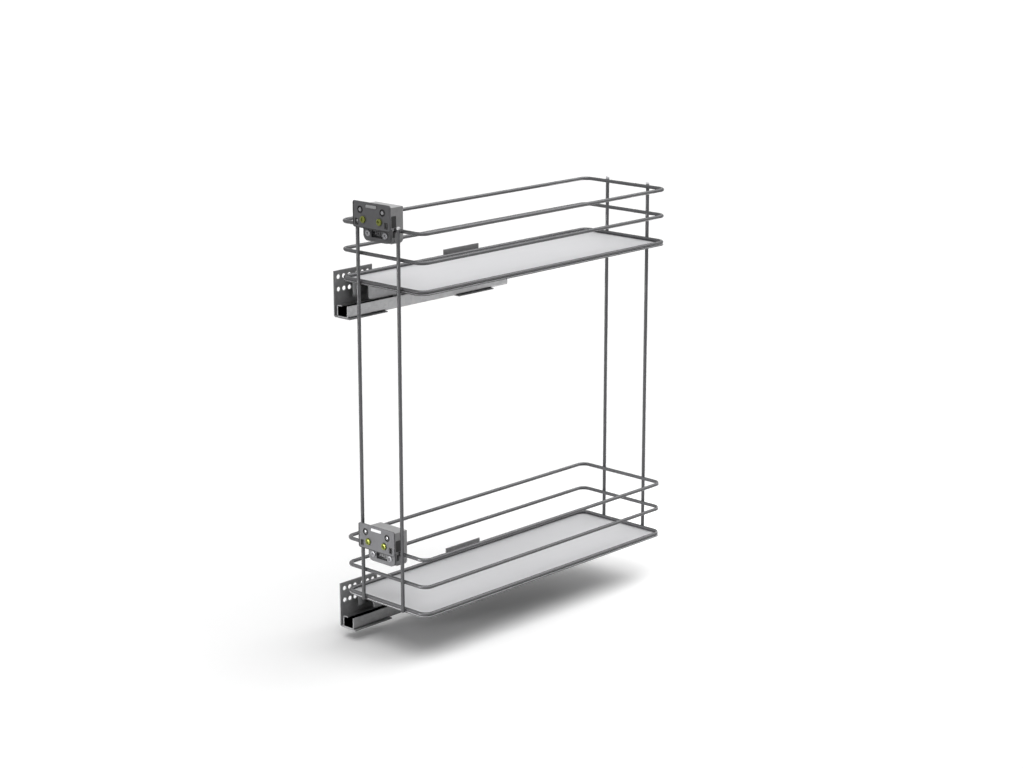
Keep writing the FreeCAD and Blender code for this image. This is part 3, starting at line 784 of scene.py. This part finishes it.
# A driven screw for each screw of the node, its head at the front and its tip at the back
def screwPair(node, look, slot):
    shells = []
    for low, high in solidBoxes(nodes[node].data):
        x, z = (low[0] + high[0]) / 2, (low[2] + high[2]) / 2
        shells.append(crossScrew(look, x, z, low[1] + look["height"], high[1]))
    return addPiece(node + "_driven", shells, "basket", slot, node)


plateShape = {"holes": 0.041, "holeHeight": 0.023, "slots": 0.054, "slotHeight": 0.007, "padHeight": 0.0285}
# Painted shade in the plate's slots
slotShadeShape = {"flange": (0.0062, 0.0086, 0.0012), "bore": (0.0033, 0.0063, 0.0006),
             "wall": (0.0039, 0.0069, 0.0008), "proud": 0.0001, "sunk": 0.00005, "foot": 0.0019}
outlineSteps = {"corner": 9, "straight": 2}


# A loop of (x, z) points stood up at a depth y
def stood(loop, y):
    return np.insert(loop, 1, y, axis=1)


# A rounded rectangle of the given width, height and corner about x, z
def outlined(x, z, size):
    wide, tall, corner = size
    return roundedLoop((x - wide / 2, z - tall / 2), (x + wide / 2, z + tall / 2), corner,
                       outlineSteps["corner"], outlineSteps["straight"])[0]


# Painted shade: a black cup lines each large hole, where shade falls, and a bright domed stud stands on its
# floor, both as (radius, depth behind the plate's face)
holeShadeAndStud = {"sides": 48,
            "profile": [(0, 0.0019), (0.0047, 0.0019), (0.0047, 0.00005), (0.0049, 0.00005), (0.0049, -0.0001),
                        (0.0044, -0.0001), (0.0042, 0.0002), (0.0042, 0.0014), (0, 0.0014)],
            "stud": [(0, 0.0015), (0.0026, 0.0015), (0.0026, -0.0002), (0.0023, -0.00045), (0.0016, -0.0007),
                     (0.0008, -0.00085), (0, -0.0009)]}


# Painted shade in a slot of the plate: a thin black flange on the face and a black wall down the slot
def slotPaintedShade(x, z, front):
    face, under, foot = front - slotShadeShape["proud"], front + slotShadeShape["sunk"], front + slotShadeShape["foot"]
    rows = (("flange", face), ("bore", face), ("bore", foot), ("wall", foot), ("wall", under),
            ("flange", under))
    points = np.stack([stood(outlined(x, z, slotShadeShape[key]), y) for key, y in rows])
    return points, gridFaces(len(rows), points.shape[1], True, True)


# A raised pad: its outline, drawn in at the face, closed on its middle in front and behind.
# Where it leans, its face comes forward by lean for each metre below the middle.
def raisedPad(x, z, size, face, back, edge, lean=0.0):
    wide, tall, corner = size
    inset = outlined(x, z, (wide - 2 * edge, tall - 2 * edge, corner - edge))
    outline = outlined(x, z, size)
    middle = np.zeros_like(outline) + (x, z)
    rows = [stood(middle, face), stood(inset, face), stood(outline, face + edge), stood(outline, back),
            stood(middle, back)]
    points = np.stack(rows)
    points[:3, :, 1] += lean * (points[:3, :, 2] - z)
    return points, gridFaces(len(rows), len(outline), closeCols=True)


padShape = {"size": (0.0194, 0.0037, 0.0008), "face": 0.0005, "edge": 0.00015, "lean": 0.16, "sunk": 0.0002,
            "ground": (0.0216, 0.0043, 0.001), "groundFace": 0.00006, "groundEdge": 0.00003}
# Painted shade along the door plate's edges
edgeShadeShape = {"left": 0.0019, "foot": 0.001, "thin": 0.0001, "corner": 0.003, "tighter": 0.0008,
             "proud": 0.00005, "slope": 0.00004, "sunk": 0.0001}


# Painted shade along the plate's edges: a thin black strip on the plate's face, broad at its left and foot: the
# inner outline is off centre
def plateEdgePaintedShade(low, high):
    wide, tall = high.x - low.x, high.z - low.z
    x, z = (low.x + high.x) / 2, (low.z + high.z) / 2
    left, foot, thin, corner, proud = (edgeShadeShape[key] for key in ("left", "foot", "thin", "corner", "proud"))
    outer = outlined(x, z, (wide + 2 * proud, tall + 2 * proud, corner + proud))
    inner = outlined(x + (left - thin) / 2, z + (foot - thin) / 2,
                     (wide - left - thin, tall - foot - thin, corner - edgeShadeShape["tighter"]))
    face, back = low.y - proud, low.y + edgeShadeShape["sunk"]
    rows = [(inner, face), (outer, face + edgeShadeShape["slope"]), (outer, back), (inner, back)]
    points = np.stack([stood(loop, y) for loop, y in rows])
    return points, gridFaces(len(rows), points.shape[1], True, True)


# The door plate's painted shade along its edges, in its slots and in its cups, the studs in the cups, and the
# pale pad on its dark ground
def plateTrim(tier):
    low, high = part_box(tier + "_door_plate")
    middle = (low.x + high.x) / 2
    level = middleOf(tier + "_top_ring")
    padPlace = (middle, level + plateShape["padHeight"])
    under = low.y + padShape["sunk"]
    ground = raisedPad(*padPlace, padShape["ground"], low.y - padShape["groundFace"], under,
                       padShape["groundEdge"])
    pad = raisedPad(*padPlace, padShape["size"], low.y - padShape["face"], under,
                    padShape["edge"], padShape["lean"])
    dark = [plateEdgePaintedShade(low, high), ground]
    bright = []
    for side in (-1, 1):
        hole = (middle + side * plateShape["holes"] / 2, low.y, level + plateShape["holeHeight"])
        dark.append(turned(holeShadeAndStud["profile"], hole, "y", holeShadeAndStud["sides"]))
        bright.append(turned(holeShadeAndStud["stud"], hole, "y", holeShadeAndStud["sides"]))
        dark.append(slotPaintedShade(middle + side * plateShape["slots"] / 2, level + plateShape["slotHeight"],
                                 low.y))
    addPiece(tier + "_door_plate_studs", bright, tier + " door plate", "clamp_screw_steel")
    # painted shade along the edges, in the cups and slots, and the pad's dark ground
    addPiece(tier + "_door_plate_painted_shade_and_dark_ground", dark, tier + " door plate", "bumper_rubber")
    addPiece(tier + "_door_plate_pale_pad", [pad], tier + " door plate", "shelf_coating")


# Painted shade on the housing's sides
sideShadeShape = {"size": (0.0084, 0.015, 0.0012), "ahead": 0.0007, "rise": 0.0108, "proud": 0.0001,
               "sunk": 0.001, "edge": 0.00008}


# Painted shade on each side of the housing: a black raised pad turned to face along X
def sidePaintedShade(tier):
    low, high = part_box(tier + "_bracket_housing")
    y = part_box(tier + "_top_ring")[0].y - sideShadeShape["ahead"]
    z = middleOf(tier + "_top_ring") + sideShadeShape["rise"]
    shells = []
    for face, inward in ((low.x, 1), (high.x, -1)):
        points, faces = raisedPad(y, z, sideShadeShape["size"], -sideShadeShape["proud"], sideShadeShape["sunk"],
                                  sideShadeShape["edge"])
        points = points.reshape(-1, 3)
        shells.append((np.stack([face + inward * points[:, 1], points[:, 0], points[:, 2]], axis=1), faces))
    addPiece(tier + "_housing_side_painted_shade", shells, "basket", "bumper_rubber")


for tier in tiers:
    screwPair(tier + "_door_screws", doorScrew, "yellow_screw_steel")
    screwPair(tier + "_clamp_screws", clampScrew, "clamp_screw_steel")
    plateTrim(tier)
    sidePaintedShade(tier)
print("door brackets made")


# Studio

studio = {"floorGap": 0.0155, "floorHalf": 30.0, "floorWhite": 1.0, "floorFill": 0.015,
          "patchCentre": (-0.08, -0.3, 0), "patchNear": 0.28, "patchFar": 0.62, "patchBounce": 0.38,
          "farBounce": 0.07, "horizon": 0.05, "zenith": 0.43}
lamps = {"backSoftbox": {"kind": "SUN", "strength": 1.52, "spread": 50, "toward": (0.3, 0.6, 1.0)},
         "frontSoftbox": {"kind": "SUN", "strength": 1.16, "spread": 46, "toward": (0.3, -0.35, 1.0)},
         "lowFrontLamp": {"kind": "SPOT", "strength": 350.0, "place": (-0.51, -1.83, 0.14), "size": 0.3,
                          "spread": 17, "fade": 1.0, "toward": (-0.2, -0.61, 0.035)},
         "lowBackPanel": {"kind": "AREA", "strength": 1.2, "place": (0.12, 0.85, 0.06), "size": 0.3,
                          "toward": (0.0, 1.0, 0.25)}}


# How far a ray is one that the camera, a reflection or a clear surface sees
def seenShare(tree):
    rays = Shade(tree).node("ShaderNodeLightPath").outputs()
    camera, glossy, clear = (rays[key] for key in ("Is Camera Ray", "Is Glossy Ray", "Is Transmission Ray"))
    return camera.maths("MAXIMUM", camera.maths("MAXIMUM", camera, glossy), clear)


# The floor is white to look at. As a light it is a bright patch in front of the object, which fades outwards:
# bounce = patchBounce within patchNear of the patch's centre, falling smoothly to farBounce at patchFar
def stageFloor():
    z = cadBox[0].z - studio["floorGap"]
    half = studio["floorHalf"]
    corners = [(-half, -half, z), (half, -half, z), (half, half, z), (-half, half, z)]
    mesh = bpy.data.meshes.new("studio_floor")
    mesh.from_pydata(corners, [], [(0, 1, 2, 3)])
    material = bpy.data.materials.new("paleStudioFloor")
    material.use_nodes = True
    tree = material.node_tree
    tree.nodes.clear()
    shade = Shade(tree)
    seen = seenShare(tree)
    away = shade.node("ShaderNodeVectorMath", {"operation": "DISTANCE"},
                      {0: placed(shade), 1: studio["patchCentre"]}, out=1)
    bounce = shade.node("ShaderNodeMapRange", {"interpolation_type": "SMOOTHSTEP"},
                        {"Value": away, "From Min": studio["patchNear"], "From Max": studio["patchFar"],
                         "To Min": studio["patchBounce"], "To Max": studio["farBounce"]})
    dim = shade.node("ShaderNodeCombineColor", {}, {"Red": bounce, "Green": bounce, "Blue": bounce})
    colour = blend(shade, seen, dim, (studio["floorWhite"],) * 3)
    lit = shade.node("ShaderNodeBsdfDiffuse", {}, {"Color": colour})
    glow = shade.node("ShaderNodeEmission", {}, {"Strength": seen * studio["floorFill"]})
    both = shade.node("ShaderNodeAddShader", {}, {0: lit, 1: glow})
    shade.node("ShaderNodeOutputMaterial", {}, {"Surface": both})
    mesh.materials.append(material)
    floor = bpy.data.objects.new("studio_floor", mesh)
    bpy.context.collection.objects.link(floor)


# The world is white where the camera or a reflection sees it. As a light it is brighter overhead:
# horizon + (zenith - horizon) * height
def whiteWorld():
    world = bpy.data.worlds.new("paleStudio")
    world.use_nodes = True
    bpy.context.scene.world = world
    shade = Shade(world.node_tree)
    background = world.node_tree.nodes["Background"]
    around = shade.node("ShaderNodeTexCoord")
    apart = shade.node("ShaderNodeSeparateXYZ", {}, {"Vector": around}, out=2)
    lit = shade.maths("MAXIMUM", apart, 0.0) * (studio["zenith"] - studio["horizon"]) + studio["horizon"]
    seen = seenShare(world.node_tree)
    shade.feed(background.inputs["Strength"], seen + (1 - seen) * lit)
    shade.feed(background.inputs["Color"], (1, 1, 1, 1))


# Each lamp shines at the object from its toward direction. Spread is a sun lamp's own width or a spot's cone,
# in degrees, and a spot fades towards the cone's edge.
def hangLamps():
    for name, plan in lamps.items():
        lamp = bpy.data.lights.new(name, plan["kind"])
        lamp.energy = plan["strength"]
        hung = bpy.data.objects.new(name, lamp)
        if plan["kind"] == "SUN":
            lamp.angle = math.radians(plan["spread"])
        elif plan["kind"] == "SPOT":
            lamp.spot_size = math.radians(plan["spread"])
            lamp.spot_blend = plan["fade"]
            lamp.shadow_soft_size = plan["size"]
        else:
            lamp.size = plan["size"]
        if "place" in plan:
            hung.location = plan["place"]
            hung.visible_camera = False
        hung.rotation_euler = Vector(plan["toward"]).to_track_quat("Z", "Y").to_euler()
        bpy.context.collection.objects.link(hung)


cameraPlan = {"place": (2.1079, -1.9182, 1.0195), "pitch": -0.250715, "turn": 0.75477, "lens": 77.72,
              "clipEnd": 100}


# The photograph's view
def photoCamera():
    view = bpy.data.cameras.new("photoView")
    view.lens = cameraPlan["lens"]
    view.clip_end = cameraPlan["clipEnd"]
    camera = bpy.data.objects.new("photoView", view)
    camera.location = cameraPlan["place"]
    camera.rotation_euler = (math.pi / 2 + cameraPlan["pitch"], 0, cameraPlan["turn"])
    bpy.context.collection.objects.link(camera)
    bpy.context.scene.camera = camera


stageFloor()
whiteWorld()
hangLamps()
photoCamera()
bpy.context.scene.view_settings.view_transform = "Standard"
print("studio made")
